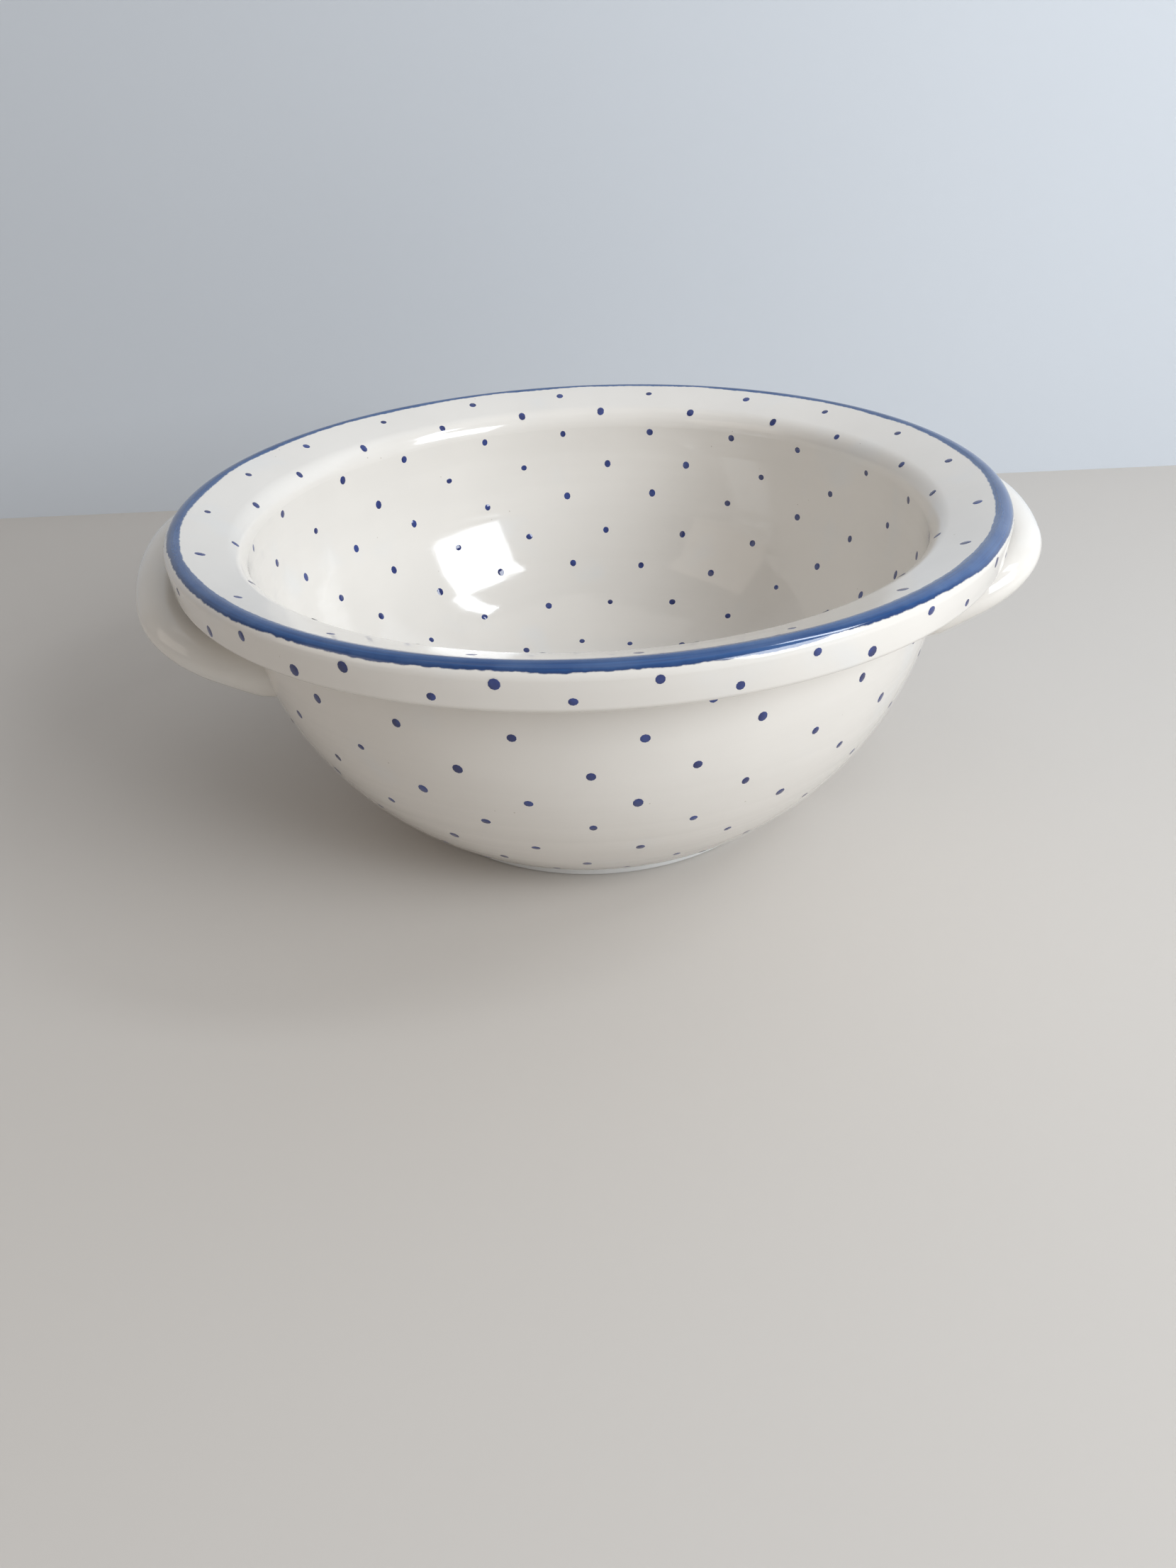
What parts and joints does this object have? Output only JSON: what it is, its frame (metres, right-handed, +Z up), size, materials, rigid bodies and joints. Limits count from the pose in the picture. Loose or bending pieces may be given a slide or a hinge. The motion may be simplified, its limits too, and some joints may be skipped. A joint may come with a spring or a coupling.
{
  "type": "punch bowl",
  "caption": "Round ceramic punch bowl with a rolled and collared rim, a loop handle at each side and a raised foot ring; holds and serves drinks or salad.",
  "frame": {"origin": "centre of the foot ring's standing plane, where the bowl rests on a table", "axes": "+Z up through the mouth; +X towards the right-hand handle's side; +Y towards the side to which both handles are set a little back"},
  "size_m": [0.3343, 0.3, 0.1225],
  "materials": {
    "white_glaze": "gloss ivory glaze with small cobalt dots",
    "rim_glaze": "gloss ivory glaze with a cobalt band on the lip",
    "foot_glaze": "gloss glaze, thinner on the standing edge",
    "handle_glaze": "gloss ivory glaze"
  },
  "bodies": {
    "root": {"bowl_body": "white_glaze", "rim_collar": "rim_glaze", "foot_ring": "foot_glaze", "handle_left": "handle_glaze", "handle_right": "handle_glaze"}
  },
  "joints": []
}
